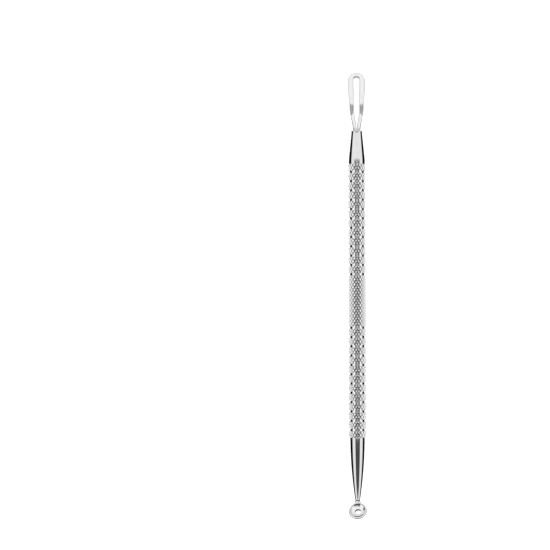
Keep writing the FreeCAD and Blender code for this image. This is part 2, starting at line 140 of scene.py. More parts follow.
class LoopSettings(PropertyGroup):
    """Sizes of the wire loop."""
    wire: length("Wire", 0.93, "Diameter of the round wire")
    tail_gap: length("Tail gap", 0.1, "Between the two tails")
    tail: length("Tail length", 6.5, "Tails inside the ferrule")
    width: length("Loop width", 4.62, "Across the loop")
    ribbon: length("Ribbon width", 1.48, "Flattened wire, across")
    thickness: length("Ribbon thickness", 0.55, "Flattened wire, through")
    flat_start: length("Flattening starts", 1.0, "From the ferrule's mouth")
    flat_end: length("Flattening ends", 5.0, "From the ferrule's mouth")
    wide_end: length("Widening ends", 9.5, "From the ferrule's mouth")
    shoulder: length("Shoulder", 6.2, "From the ferrule's mouth to the loop's shoulder")
    spread: length("Shoulder spread", 2.6, "Between the wire's middles at the shoulder")
    dip: angle("Leg dip", 7.0, "Slope of the legs down from the ferrule's mouth")
    dip_end: length("Dip ends", 3.3, "From the ferrule's mouth to where the legs begin to level out")
    bend: length("Bend", 6.2, "From the ferrule's mouth to where the loop begins to bend down")
    bend_run: length("Bend run", 1.6, "Length of wire that the bends at both ends of the dip take up")
    fall_run: length("Fall run", 3.6, "Length of wire that the last bend takes up")


class CupSettings(PropertyGroup):
    """Sizes of the extractor cup."""
    width: length("Width", 4.82, "Across the rim")
    slope_length: length("Length", 5.21, "Along the slope of the rim")
    wall: length("Wall", 0.6, "Wall and round lip")
    hollow: length("Bowl radius", 2.6, "Radius of the hollow across the tool")
    hole: length("Hole", 1.5, "Diameter of the hole")
    tilt: angle("Tilt", 38.0, "Mouth from straight up towards the grip")
    roll: angle("Roll", 8.0, "Mouth sideways about the tool's axis")
    neck: length("Neck", 0.45, "Flared neck from the joint to the rim")
    neck_width: length("Neck width", 2.1, "Neck where it meets the rim")
    stem: length("Stem", 0.8, "Diameter of the stem")
    stem_length: length("Stem length", 3.2, "From the neck into the ferrule")
    joint: length("Joint", 0.27, "Filler between the ferrule and the neck")


class FinishSettings(PropertyGroup):
    """Colours and polish of the metals."""
    steel: colour("Steel", (0.82, 0.82, 0.825), "Polished steel")
    bright: colour("Bright steel", (0.9, 0.9, 0.905), "Most polished steel: the cup, the wire and the crests")
    # Painted shade: near-black tone that darkens the knurl's valleys
    painted_valley_shade: colour("Knurl valleys", (0.03, 0.03, 0.032), "Bottom of the knurl")
    solder: colour("Filler", (0.12, 0.12, 0.123), "Filler metal in the joints")
    # Painted shade: a near-black tone mixed into the steel on the wall of the cup's hole, the edges of its
    # lip and the sides of the wire, standing for their shade and dark reflections
    painted_shade: colour("Dull edges", (0.09, 0.09, 0.092),
                 "Drilled wall of the cup's hole, edges of its lip and sides of the wire")
    gloss: share("Polish", 0.06, "Roughness of the polished steel")


class StageSettings(PropertyGroup):
    """White table, soft light and camera."""
    table: colour("Table", (0.92, 0.92, 0.92), "White table")
    glow: FloatProperty(name="Table glow", description="Light that the table gives", default=0.75, min=0.0)
    level: FloatProperty(name="Light", description="Strength of the soft light", default=1.2, min=0.0)
    distance: length("Camera height", 600.0, "Camera above the tool's axis")
    view_width: length("View width", 148.05, "Width of the picture at the tool's axis")
    aim_x: length("Aim across", -22.1, "Middle of the picture across the tool")
    aim_y: length("Aim along", 5.42, "Middle of the picture along the tool")
    lean: angle("Lean", -0.147, "Turn of the picture about the line of sight")


class ExtractorSettings(PropertyGroup):
    """All settings of the extractor."""
    grip: PointerProperty(type=GripSettings)
    ferrule: PointerProperty(type=FerruleSettings)
    loop: PointerProperty(type=LoopSettings)
    cup: PointerProperty(type=CupSettings)
    finish: PointerProperty(type=FinishSettings)
    stage: PointerProperty(type=StageSettings)


# Surfaces

def ease(step):
    """Smooth step: three times the square less twice the cube of a share held between 0 and 1."""
    held = np.clip(step, 0.0, 1.0)
    return held * held * (3.0 - 2.0 * held)


def rise(place, start, run):
    """Smooth step of a place, from a start over a run."""
    return ease((place - start) / run)


def full_turn(columns):
    """Angles of evenly spaced columns round one full turn."""
    return np.linspace(0.0, 2.0 * math.pi, columns, endpoint=False)


def skin_faces(rows, columns, first, ring, cross_cut=None):
    """Quads over a grid that is closed across its columns, with fans to two poles unless its rows close too.

    Vertex numbers start at first; the poles, if any, are the two numbers after the grid. With cross_cut,
    every quad is cut into two triangles: from its second to its last corner where that is true, else from
    its first.
    """
    i, j = np.meshgrid(np.arange(rows if ring else rows - 1), np.arange(columns), indexing="ij")
    after = (j + 1) % columns
    above = (i + 1) % rows
    quads = np.stack([i * columns + j, i * columns + after, above * columns + after, above * columns + j], -1)
    quads = quads.reshape(-1, 4) + first
    if cross_cut is not None:
        along_first = quads[:, [0, 1, 2, 0, 2, 3]]
        along_second = quads[:, [0, 1, 3, 1, 2, 3]]
        quads = np.where(cross_cut.reshape(-1, 1), along_second, along_first).reshape(-1, 3)
    if ring:
        return quads.tolist()
    around = np.arange(columns)
    ahead = (around + 1) % columns
    last_row = (rows - 1) * columns
    low_pole = np.full(columns, rows * columns)
    start_fan = np.stack([ahead, around, low_pole], -1) + first
    end_fan = np.stack([last_row + around, last_row + ahead, low_pole + 1], -1) + first
    return quads.tolist() + start_fan.tolist() + end_fan.tolist()


def skin_points(grid, ring):
    """Points of a grid row by row, followed by the middles of its first and last rows unless it is a ring."""
    points = grid.reshape(-1, 3)
    if ring:
        return points
    return np.concatenate([points, grid[[0, -1]].mean(axis=1)])


def skinned(name, grids, sharp=35.0, cross_cut=None):
    """One object from (grid, ring) pairs, smooth but for edges sharper than the angle, faces outwards."""
    points = []
    faces = []
    count = 0
    for grid, ring in grids:
        part = skin_points(grid, ring)
        points.append(part)
        faces += skin_faces(grid.shape[0], grid.shape[1], count, ring, cross_cut)
        count += len(part)
    mesh = bpy.data.meshes.new(name)
    mesh.from_pydata(np.concatenate(points), [], faces)
    if mesh.validate():
        raise RuntimeError(f"{name} has broken faces")
    mesh.polygons.foreach_set("use_smooth", np.ones(len(mesh.polygons), bool))
    mesh.set_sharp_from_angle(angle=math.radians(sharp))
    mesh.update()
    piece = bpy.data.objects.new(name, mesh)
    bpy.context.scene.collection.objects.link(piece)
    return piece


def mark(piece, name, values):
    """Store values on a piece's first points as an attribute; its other points get nought."""
    marks = piece.data.attributes.new(name, "FLOAT", "POINT")
    rest = np.zeros(len(piece.data.vertices) - values.size)
    marks.data.foreach_set("value", np.concatenate([values.ravel(), rest]).astype(np.float32))


def rounded(corners, radii, steps=6):
    """Outline through corners, each replaced by a quadratic curve between points its radius to either side.

    The first and last corners, on the axis or at a seam, are kept as they are.
    """
    corners = np.asarray(corners, float)
    middle = corners[1:-1]
    back = corners[:-2] - middle
    on = corners[2:] - middle
    reach = np.asarray(radii, float)[:, None]
    enter = middle + back / np.linalg.norm(back, axis=1)[:, None] * reach
    leave = middle + on / np.linalg.norm(on, axis=1)[:, None] * reach
    s = np.linspace(0.0, 1.0, steps)[None, :, None]
    curve = (1 - s) ** 2 * enter[:, None] + 2 * s * (1 - s) * middle[:, None] + s**2 * leave[:, None]
    return np.concatenate([corners[:1], curve.reshape(-1, 2), corners[-1:]])


def turned(outline, columns):
    """Turn an outline of (radius, place along the tool) round the tool's axis, rows along the outline."""
    around = full_turn(columns)
    radius = outline[:, 0][:, None]
    along = np.broadcast_to(outline[:, 1][:, None], (len(outline), columns))
    return np.stack([radius * np.sin(around), along, AXIS_HEIGHT + radius * np.cos(around)], -1)


HALF_WALL = 0.012 * MM  # half of what the wall of a ring groove takes up along the grip
WALL_CLEARANCE = 0.03 * MM  # knurl rows nearer than this to a row of a wall are left out
RING_SHINE = 0.75  # a ring groove takes the painted valley shade and the roughness that the knurl has at this height
HEIGHT_TIE = 1e-6  # heights that differ by less count as equal


def ring_middles(grip):
    """Places along the tool of the middles of all ring grooves."""
    counts = np.arange(grip.ring_count) * grip.ring_pitch
    return np.concatenate([GRIP_LOW.y + grip.cup_margin + counts, GRIP_HIGH.y - grip.loop_margin - counts])


def knurl_height(around, along, grip):
    """Height of the diamond knurl between 0, in a valley, and 1, on a crest.

    Two sets of helical valleys cross: each set's height is a triangle wave of the turn, plus or minus the
    place along the grip, and the lower of the two counts. The top share of the wave is cut flat. The valleys
    start at the cup end, straight up, as the solid's main grooves do.
    """
    turn = grip.diamonds * around / (2.0 * math.pi)
    climb = (along - GRIP_LOW.y) / grip.pitch
    left = 1.0 - np.abs(2.0 * np.mod(turn + climb, 1.0) - 1.0)
    right = 1.0 - np.abs(2.0 * np.mod(turn - climb, 1.0) - 1.0)
    return np.minimum(np.minimum(left, right) / (1.0 - grip.crest), 1.0)


def knurled_tube(grip):
    """Tube whose outer radius is the crest less the knurl, less the ring grooves, closed through its bore.

    Rows run along the grip at even shares of the knurl's pitch, with two more at each wall of each ring
    groove and at the bevels, and back through the bore. Each quad is cut along the diagonal whose middle is
    nearer to the knurl's height there, so that valleys of both hands run straight. Returns the grid, the
    knurl's height on it, and where the quads are cut from the second corner.
    """
    crest = (GRIP_HIGH.z - GRIP_LOW.z) / 2
    start, end = GRIP_LOW.y, GRIP_HIGH.y
    step = grip.pitch / KNURL_STEPS
    rows = start + np.arange(1, math.ceil((end - start) / step)) * step
    middles = ring_middles(grip)
    half = grip.ring_width / 2
    from_middle = np.array([-half, half])[:, None] + np.array([-HALF_WALL, HALF_WALL])
    walls = (middles[:, None] + from_middle.ravel()).ravel()
    near_wall = np.abs(rows[:, None] - walls[None, :]).min(axis=1) < WALL_CLEARANCE
    ends = np.array([start, start + grip.bevel, end - grip.bevel, end])
    inside = (rows > start + grip.bevel + HALF_WALL) & (rows < end - grip.bevel - HALF_WALL)
    along = np.sort(np.concatenate([rows[inside & ~near_wall], walls, ends]))
    around = full_turn(grip.diamonds * KNURL_STEPS)
    height = knurl_height(around[None, :], along[:, None], grip)
    radius = crest - grip.depth * (1.0 - height)
    from_ring = np.abs(along[:, None] - middles[None, :]).min(axis=1)
    in_ring = (from_ring < half)[:, None]
    radius = np.where(in_ring, crest - grip.ring_depth, radius)
    from_end = np.minimum(along - start, end - along)[:, None]
    radius = np.minimum(radius, crest - grip.bevel + from_end)
    after = np.roll(height, -1, axis=1)
    turn_step = math.pi / len(around)
    halfway = (along[1:] + along[:-1])[:, None] / 2
    true_height = knurl_height(around[None, :] + turn_step, halfway, grip)
    first_miss = np.abs((height[:-1] + after[1:]) / 2 - true_height)
    second_miss = np.abs((after[:-1] + height[1:]) / 2 - true_height)
    cross_cut = np.zeros((len(along) + 2, len(around)), bool)
    cross_cut[1:-2] = second_miss < first_miss - HEIGHT_TIE
    bore = np.full((2, len(around)), grip.bore / 2)
    radius = np.concatenate([bore[:1], radius, bore[1:]])
    along = np.concatenate([[start], along, [end]])
    worth = np.where(in_ring, RING_SHINE, height)
    worth = np.concatenate([bore[:1] * 0, worth, bore[1:] * 0])
    place = np.broadcast_to(along[:, None], radius.shape)
    grid = np.stack([radius * np.sin(around), place, AXIS_HEIGHT + radius * np.cos(around)], -1)
    return grid, worth, cross_cut


def loop_ferrule_outline(ferrule):
    """Spigot, shoulder, base land, cone, mouth land and blind bore, less the two ends on the axis."""
    base = GRIP_HIGH.y
    mouth = LOOP_FERRULE_HIGH.y
    edge = ferrule.edge
    fine = edge / 3
    corners = [
        (0.0, base - ferrule.spigot),
        (ferrule.spigot_diameter / 2, base - ferrule.spigot),
        (ferrule.spigot_diameter / 2, base),
        (ferrule.loop_base / 2, base),
        (ferrule.loop_base / 2, base + ferrule.base_land),
        (ferrule.loop_mouth / 2, mouth - ferrule.mouth_land),
        (ferrule.loop_mouth / 2, mouth),
        (ferrule.wire_bore / 2, mouth),
        (ferrule.wire_bore / 2, mouth - ferrule.wire_bore_depth),
        (0.0, mouth - ferrule.wire_bore_depth),
    ]
    radii = [edge, fine, edge, ferrule.base_blend, ferrule.mouth_blend, edge, edge, fine]
    return rounded(corners, radii)[1:-1]


def cup_ferrule_outline(ferrule):
    """Socket, side arc from the tip, shoulder and spigot, less the two ends on the axis.

    The side is a parabola over its chord, which looks the same as a shallow arc: the chord plus four times
    the bulge times the share of the way times what is left of it.
    """
    base = GRIP_LOW.y
    tip = CUP_FERRULE_LOW.y
    edge = ferrule.edge
    fine = edge / 3
    s = np.linspace(0.0, 1.0, FERRULE_SIDE_ROWS)
    side = ferrule.cup_base + (ferrule.cup_tip - ferrule.cup_base) * s
    radius = side / 2 + 4.0 * ferrule.bulge * s * (1.0 - s)
    sides = np.stack([radius, base + (tip - base) * s], -1)
    head = rounded([
        (0.0, base + ferrule.spigot),
        (ferrule.spigot_diameter / 2, base + ferrule.spigot),
        (ferrule.spigot_diameter / 2, base),
        tuple(sides[0]),
        tuple(sides[1]),
    ], [edge, fine, edge])
    tail = rounded([
        tuple(sides[-2]),
        tuple(sides[-1]),
        (ferrule.socket / 2, tip),
        (ferrule.socket / 2, tip + ferrule.socket_depth),
        (0.0, tip + ferrule.socket_depth),
    ], [edge / 2, fine, fine])
    return np.concatenate([head, sides[2:-2], tail])[-2:0:-1]


STEEPEST_FALL = math.radians(60)
HALVINGS = 50
SIDE_PAINTED_SHADE = 0.8  # how dark the painted shade on the sides of the legs is
SIDE_POWER = 6  # the higher, the narrower the painted dark line on each side
RIBBON_SHADE_CUT = 0.4  # how much less of that painted shade the ribbon has


def leg_slope(place, fall, loop):
    """Slope of the loop, downwards, at places on the wire counted from the ferrule's mouth."""
    dip = ease(place / loop.bend_run) - rise(place, loop.dip_end, loop.bend_run)
    return loop.dip * dip + fall * rise(place, loop.bend, loop.fall_run)


def middle_line(fall, loop):
    """Middle plane of the loop up to its last bend: places on the wire, how far along and how far up each is.

    Every small step of wire goes along by the cosine and down by the sine of the slope at its middle.
    """
    place = np.linspace(0.0, loop.bend + loop.fall_run, BEND_STEPS)
    slope = leg_slope((place[1:] + place[:-1]) / 2, fall, loop)
    along = np.concatenate([[0.0], np.cumsum(np.cos(slope))]) * place[1]
    up = np.concatenate([[0.0], -np.cumsum(np.sin(slope))]) * place[1]
    return place, along, up


def rest_on_table(loop):
    """Slope and length of the loop's straight end that put its tip at the reach of the solid, on the table.

    The straight end runs from the last bend to the middle of the wire at the tip; past it the section, an
    ellipse, reaches on and drops as a tilted ellipse does. The slope is found by halving.
    """
    reach = LOOP_HIGH.y - LOOP_FERRULE_HIGH.y
    low, high = 0.0, STEEPEST_FALL
    for _ in range(HALVINGS):
        fall = (low + high) / 2
        _, along, up = middle_line(fall, loop)
        past_reach = math.hypot(loop.ribbon / 2 * math.cos(fall), loop.thickness / 2 * math.sin(fall))
        past_drop = math.hypot(loop.ribbon / 2 * math.sin(fall), loop.thickness / 2 * math.cos(fall))
        straight = (reach - past_reach - along[-1]) / math.cos(fall)
        if straight * math.sin(fall) + past_drop - up[-1] < AXIS_HEIGHT:
            low = fall
        else:
            high = fall
    return fall, straight


def wire_path(loop, steps):
    """Middle of the hairpin from one tail end to the other, with its run, width and thickness.

    Along each leg the offset from the axis eases from the tails to the shoulder and on to the tip's
    radius; the tip is half a circle. Everything is laid out flat, to be bent down afterwards.
    Returns places on the flat loop as (across, along), directions, widths, thicknesses and the last slope.
    """
    fall, straight = rest_on_table(loop)
    tip_radius = (loop.width - loop.ribbon) / 2
    tip_middle = loop.bend + loop.fall_run + straight - tip_radius
    tail_offset = (loop.wire + loop.tail_gap) / 2
    along = np.concatenate([[-loop.tail, -loop.tail / 2], np.linspace(0.0, tip_middle, steps)])
    to_shoulder = ease(along / loop.shoulder) * (loop.spread / 2 - tail_offset)
    to_tip = rise(along, loop.shoulder, tip_middle - loop.shoulder) * (tip_radius - loop.spread / 2)
    across = tail_offset + to_shoulder + to_tip
    arc = np.linspace(0.0, math.pi, steps // 2)[1:-1]
    flat_x = np.concatenate([across, tip_radius * np.cos(arc), -across[::-1]])
    flat_y = np.concatenate([along, tip_middle + tip_radius * np.sin(arc), along[::-1]])
    run_x = np.gradient(flat_x)
    run_y = np.gradient(flat_y)
    norm = np.hypot(run_x, run_y)
    flat = rise(flat_y, loop.flat_start, loop.flat_end - loop.flat_start)
    wide = rise(flat_y, loop.flat_start, loop.wide_end - loop.flat_start)
    width = loop.wire + wide * (loop.ribbon - loop.wire)
    depth = loop.wire + flat * (loop.thickness - loop.wire)
    return np.stack([flat_x, flat_y], -1), np.stack([run_x / norm, run_y / norm], -1), width, depth, fall


def bend_down(flat_x, flat_y, lift, loop, fall):
    """Bend points of the flat loop, with a lift over its middle plane, down along the middle line."""
    place, along, up = middle_line(fall, loop)
    past = np.maximum(flat_y - place[-1], 0.0)
    slope = leg_slope(flat_y, fall, loop)
    run = np.minimum(flat_y, 0.0) + np.interp(flat_y, place, along) + past * math.cos(fall)
    y = run + lift * np.sin(slope)
    z = np.interp(flat_y, place, up) - past * math.sin(fall) + lift * np.cos(slope)
    return np.stack([flat_x, LOOP_FERRULE_HIGH.y + y, AXIS_HEIGHT + z], -1)


def wire_tube(loop):
    """Ellipse carried along the hairpin: a round that turns into a flat ribbon.

    Returns the grid and its painted shade: on the sides of the wire, more on the legs than on the ribbon.
    """
    path, run, width, depth, fall = wire_path(loop, WIRE_STEPS)
    around = full_turn(WIRE_COLUMNS)
    side = np.cos(around) * width[:, None] / 2
    lift = np.sin(around) * depth[:, None] / 2
    flat_x = path[:, :1] + run[:, 1:] * side
    flat_y = path[:, 1:] - run[:, :1] * side
    # Painted shade: the sides of the wire are darkened to stand for their dark reflections
    on_legs = 1.0 - RIBBON_SHADE_CUT * rise(path[:, 1:], loop.dip_end, loop.fall_run)
    painted_shade = SIDE_PAINTED_SHADE * np.cos(around) ** SIDE_POWER * on_legs
    return bend_down(flat_x, flat_y, lift, loop, fall)[:, ::-1], painted_shade[:, ::-1]


HOLE_EDGE = 0.07 * MM  # rounding of the hole's edges
HOLE_ROUNDING = 0.9  # share of that rounding which the curve at an edge takes up
STRETCH_RUN = 0.6 * MM  # from the hole to where the dish has its full stretch
OUTER_PAINTED_SHADE = (60, 6.0)  # first row of the outer arc with painted shade, and rows that it takes to be fully shaded
INNER_PAINTED_SHADE = 0.55  # how dark the painted shade on the lip's inner edge is
INNER_SHADE_ROWS = 8.0  # rows of the inner arc over which that fades
LIP_TOP = (0.1, 0.55)  # where on the lip the painted shade of its outer edge begins to fade, and the run that this takes
LIP_INNER = (0.7, 0.2)  # where on the lip the painted shade of its inner edge begins, and the run that this takes
NECK_INSET = 0.03 * MM  # the neck stays this much thinner than the lip
NECK_FLARE = 1.5  # the higher, the later the neck widens
STEM_EDGE = 0.03 * MM


def cup_frame(cup):
    """Rim middle and the rim's three directions: across, towards the handle, and out of the mouth."""
    stretch = cup.slope_length / cup.width
    rim_radius = (cup.width - cup.wall) / 2
    out = np.array([-math.sin(cup.roll) * math.cos(cup.tilt), math.sin(cup.tilt),
                    math.cos(cup.roll) * math.cos(cup.tilt)])
    near = np.array([math.sin(cup.roll) * math.sin(cup.tilt), math.cos(cup.tilt),
                     -math.cos(cup.roll) * math.sin(cup.tilt)])
    across = np.cross(near, out)
    lip_run = cup.wall / 2 * math.hypot(stretch * math.cos(cup.tilt), math.sin(cup.tilt))
    rim_y = CUP_FERRULE_LOW.y - cup.joint - cup.neck - lip_run
    near_lip = near * stretch * rim_radius
    middle = np.array([0.0, rim_y - near_lip[1], AXIS_HEIGHT - near_lip[2]])
    return middle, across, near * stretch, out, rim_y


def cup_dish(cup):
    """Spherical dish with a full round lip and a hole, stretched along the slope of its rim.

    The outline is the outer arc from the hole to the rim, the lip's half circle, the inner arc back to
    the hole and the hole's wall with rounded edges, and it is turned about the mouth's axis. Returns the
    grid and its painted shade: fully on the hole's wall and the lip's outer edge, partly on its inner edge.
    """
    middle, across, near, out, _ = cup_frame(cup)
    inner = cup.hollow
    outer = inner + cup.wall
    centre_line = inner + cup.wall / 2
    rim = math.asin((cup.width - cup.wall) / 2 / centre_line)
    lift = centre_line * math.cos(rim)
    hole = cup.hole / 2
    outer_arc = np.linspace(math.asin((hole + HOLE_EDGE) / outer), rim, DISH_ROWS)
    inner_arc = np.linspace(rim, math.asin((hole + HOLE_EDGE) / inner), DISH_ROWS)
    lip = np.linspace(0.0, math.pi, LIP_ROWS)[1:-1]
    radial = centre_line + cup.wall / 2 * np.cos(lip)
    along_lip = cup.wall / 2 * np.sin(lip)
    radius = np.concatenate([
        outer * np.sin(outer_arc),
        radial * math.sin(rim) + along_lip * math.cos(rim),
        inner * np.sin(inner_arc),
    ])
    height = np.concatenate([
        lift - outer * np.cos(outer_arc),
        lift - radial * math.cos(rim) + along_lip * math.sin(rim),
        lift - inner * np.cos(inner_arc),
    ])
    low = lift - math.sqrt(outer**2 - hole**2)
    high = lift - math.sqrt(inner**2 - hole**2)
    corner = np.array([(radius[-1], height[-1]), (hole, high), (hole, low), (radius[0], height[0])])
    hole_wall = rounded(corner, [HOLE_EDGE * HOLE_ROUNDING] * 2, HOLE_ROWS)[1:-1]
    radius = np.concatenate([radius, hole_wall[:, 0]])
    height = np.concatenate([height, hole_wall[:, 1]])
    around = full_turn(DISH_COLUMNS)
    # The hole stays round: the stretch grows from nothing at the hole to its full share well outside it.
    grow = rise(radius, hole, STRETCH_RUN)[:, None, None]
    plain = near / np.linalg.norm(near)
    stretched = plain + (near - plain) * grow
    ring = radius[:, None, None] * (np.cos(around)[None, :, None] * across
                                    + np.sin(around)[None, :, None] * stretched)
    lip_share = lip / math.pi
    rows = np.arange(DISH_ROWS)
    # Painted shade: darkens the hole's wall for its shade and the lip's edges for their dark reflections
    painted_shade = np.concatenate([
        rise(rows, *OUTER_PAINTED_SHADE),
        1.0 - rise(lip_share, *LIP_TOP) + INNER_PAINTED_SHADE * rise(lip_share, *LIP_INNER),
        INNER_PAINTED_SHADE * (1.0 - ease(rows / INNER_SHADE_ROWS)),
        np.ones(len(hole_wall)),
    ])
    painted_shade = np.broadcast_to(painted_shade[:, None], (len(radius), len(around)))
    return middle + ring + height[:, None, None] * out, painted_shade


def cup_neck(cup, ferrule):
    """Stem, joint face and neck: circles that flare into a flat ellipse inside the near lip.

    Half-depth goes straight from the joint's radius to the ellipse's; half-width widens faster and faster.
    """
    _, _, _, _, rim_y = cup_frame(cup)
    joint_y = CUP_FERRULE_LOW.y - cup.joint
    s = np.linspace(0.0, 1.0, NECK_ROWS)
    tip = ferrule.cup_tip / 2
    wide = tip + (cup.neck_width / 2 - tip) * s**NECK_FLARE
    deep = tip + (cup.wall / 2 - NECK_INSET - tip) * s
    along = joint_y + (rim_y - joint_y) * s
    stem = cup.stem / 2
    stem_radii = [stem - STEM_EDGE, stem, stem, tip - STEM_EDGE]
    wide = np.concatenate([stem_radii, wide])
    deep = np.concatenate([stem_radii, deep])
    far = joint_y + cup.stem_length
    along = np.concatenate([[far, far - STEM_EDGE, joint_y, joint_y], along])
    around = full_turn(NECK_COLUMNS)
    place = np.broadcast_to(along[:, None], (len(along), len(around)))
    grid = np.stack([wide[:, None] * np.sin(around), place, AXIS_HEIGHT + deep[:, None] * np.cos(around)], -1)
    return grid[:, ::-1]


PLUG_CLEARANCE = 0.01 * MM  # between the plug and the bore
PLUG_DEPTH = 1.26 * MM  # from the mouth to the back of the plug
PLUG_MIDDLE = 0.02  # share of the radius at which the face's rows end
FACE_SUNK = 0.16 * MM  # from the mouth to the lowest part of the face
FACE_CREEP = 0.1 * MM  # how far the face creeps up
MOST_CREEP = 1.2  # where creep from a wire and from the bore add up, the most that counts
WIRE_CREEP_RUN = 0.09 * MM
BORE_CREEP = 0.8
BORE_CREEP_RUN = 0.06 * MM
JOINT_INSET = 0.03 * MM  # the ring stays this much inside the ferrule's tip
JOINT_HOLLOW = 0.06 * MM  # depth of the hollow in its side


def loop_filler(loop, ferrule):
    """Plug in the ferrule's mouth whose face creeps up on the wires and the bore.

    Rows go from the middle of the back over the side to the middle of the face. The face's height is a
    sunk level plus a share that falls off with the distance from the nearest wire and from the bore.
    """
    bore = ferrule.wire_bore / 2 - PLUG_CLEARANCE
    mouth = LOOP_FERRULE_HIGH.y
    around = full_turn(PLUG_COLUMNS)
    face = np.linspace(1.0, PLUG_MIDDLE, PLUG_ROWS)[:, None] * bore
    x = face * np.sin(around)
    z = face * np.cos(around)
    offset = (loop.wire + loop.tail_gap) / 2
    to_wire = np.maximum(np.minimum(np.hypot(x - offset, z), np.hypot(x + offset, z)) - loop.wire / 2, 0.0)
    to_bore = bore - np.hypot(x, z)
    creep = np.exp(-to_wire / WIRE_CREEP_RUN) + BORE_CREEP * np.exp(-to_bore / BORE_CREEP_RUN)
    y = mouth - FACE_SUNK + FACE_CREEP * np.minimum(creep, MOST_CREEP)
    back = np.array([0.5, 1.0])[:, None] * bore
    back_x = back * np.sin(around)
    back_z = back * np.cos(around)
    back_y = np.full_like(back_x, mouth - PLUG_DEPTH)
    return np.stack([np.concatenate([back_x, x]), np.concatenate([back_y, y]),
                     AXIS_HEIGHT + np.concatenate([back_z, z])], -1)


def cup_filler(cup, ferrule):
    """Thin ring with a hollow side: its radius dips by a half sine between the ferrule and the neck."""
    low = CUP_FERRULE_LOW.y - cup.joint
    s = np.linspace(0.0, 1.0, JOINT_ROWS)
    rim = ferrule.cup_tip / 2 - JOINT_INSET - JOINT_HOLLOW * np.sin(math.pi * s)
    inner = np.full(2, ferrule.socket / 2)
    radius = np.concatenate([inner[:1], rim, inner[1:]])
    along = low + np.concatenate([[0.0], s, [1.0]]) * cup.joint
    return turned(np.stack([radius, along], -1), JOINT_COLUMNS)


# Finishes

# Grains per metre along X, Y and Z, and heights of grain
HANDLING_PATCHES = (700.0, 260.0, 700.0)
GRIP_PATCHES = (500.0, 180.0, 500.0)
TURNED_GRAIN = (600.0, 14000.0, 600.0)
GRIP_GRAIN = (900.0, 9000.0, 900.0)
DRAWN_GRAIN = (9000.0, 700.0, 9000.0)
CUP_GRAIN = (5000.0, 5000.0, 5000.0)
FILLER_GRAIN = (9000.0, 9000.0, 9000.0)
FILLER_TARNISH = (2500.0, 2500.0, 2500.0)
TABLE_CLOUDS = (6.0, 6.0, 6.0)
POLISH_HEIGHT = 0.0004 * MM
GRIP_GRAIN_HEIGHT = 0.0006 * MM
FILLER_GRAIN_HEIGHT = 0.012 * MM

# Roughness as a multiple of the polish
PATCH_ROUGHNESS = 2.2
VALLEY_ROUGHNESS = 4.0
CREST_ROUGHNESS = 1.6

# Shares of a colour that are left in its darker patches
WORN_SHARE = 0.95
TARNISH_SHARE = 0.55
CLOUD_SHARE = 0.98


def darker(tone, share_left):
    """A colour with a share of its brightness left."""
    return tuple(value * share_left for value in tone)


class Finish:
    """A node material on the Principled shader, with helpers that add and link nodes."""
    COLOUR_INPUTS = (6, 7)  # places of the Mix node's two colours
    COLOUR_OUTPUT = 2

    def __init__(self, name):
        self.material = bpy.data.materials.new(name)
        self.material.use_nodes = True
        self.nodes = self.material.node_tree.nodes
        self.links = self.material.node_tree.links
        self.shader = self.nodes["Principled BSDF"]
        self.place = self.nodes.new("ShaderNodeTexCoord").outputs["Object"]

    def set(self, **values):
        """Set the shader's own sockets; an underscore stands for a space."""
        for name, value in values.items():
            self.shader.inputs[name.replace("_", " ")].default_value = value

    def noise(self, per_metre, detail=3.0, roughness=0.55):
        """Noise whose grain is given along X, Y and Z in grains per metre."""
        mapping = self.nodes.new("ShaderNodeMapping")
        mapping.inputs["Scale"].default_value = per_metre
        self.links.new(self.place, mapping.inputs["Vector"])
        noise = self.nodes.new("ShaderNodeTexNoise")
        noise.inputs["Scale"].default_value = 1.0
        noise.inputs["Detail"].default_value = detail
        noise.inputs["Roughness"].default_value = roughness
        self.links.new(mapping.outputs["Vector"], noise.inputs["Vector"])
        return noise.outputs["Fac"]

    def attribute(self, name):
        """A value stored on the points of the mesh."""
        node = self.nodes.new("ShaderNodeAttribute")
        node.attribute_name = name
        return node.outputs["Fac"]

    def spread(self, source, low, high, to_low=0.0, to_high=1.0):
        """Spread a value smoothly from one range to another."""
        node = self.nodes.new("ShaderNodeMapRange")
        node.interpolation_type = "SMOOTHSTEP"
        for name, number in zip(("From Min", "From Max", "To Min", "To Max"), (low, high, to_low, to_high)):
            node.inputs[name].default_value = number
        self.links.new(source, node.inputs["Value"])
        return node.outputs["Result"]

    def mix(self, share_of, first, second):
        """Mix two colours by a share."""
        node = self.nodes.new("ShaderNodeMix")
        node.data_type = "RGBA"
        self.links.new(share_of, node.inputs["Factor"])
        for place, tone in zip(self.COLOUR_INPUTS, (first, second)):
            socket = node.inputs[place]
            if isinstance(tone, bpy.types.NodeSocket):
                self.links.new(tone, socket)
            else:
                socket.default_value = (*tone, 1.0)
        return node.outputs[self.COLOUR_OUTPUT]

    def feed(self, name, source):
        """Link a value to one of the shader's sockets."""
        self.links.new(source, self.shader.inputs[name])

    def bump(self, source, height):
        """Bump the shader's normal by a value, up to a height in metres."""
        node = self.nodes.new("ShaderNodeBump")
        node.inputs["Strength"].default_value = 1.0
        node.inputs["Distance"].default_value = height
        self.links.new(source, node.inputs["Height"])
        self.feed("Normal", node.outputs["Normal"])

    def patchy(self, patches, tone):
        """A colour that is a little darker in worn patches."""
        return self.mix(self.spread(patches, low=0.45, high=0.75), tuple(tone), darker(tone, WORN_SHARE))


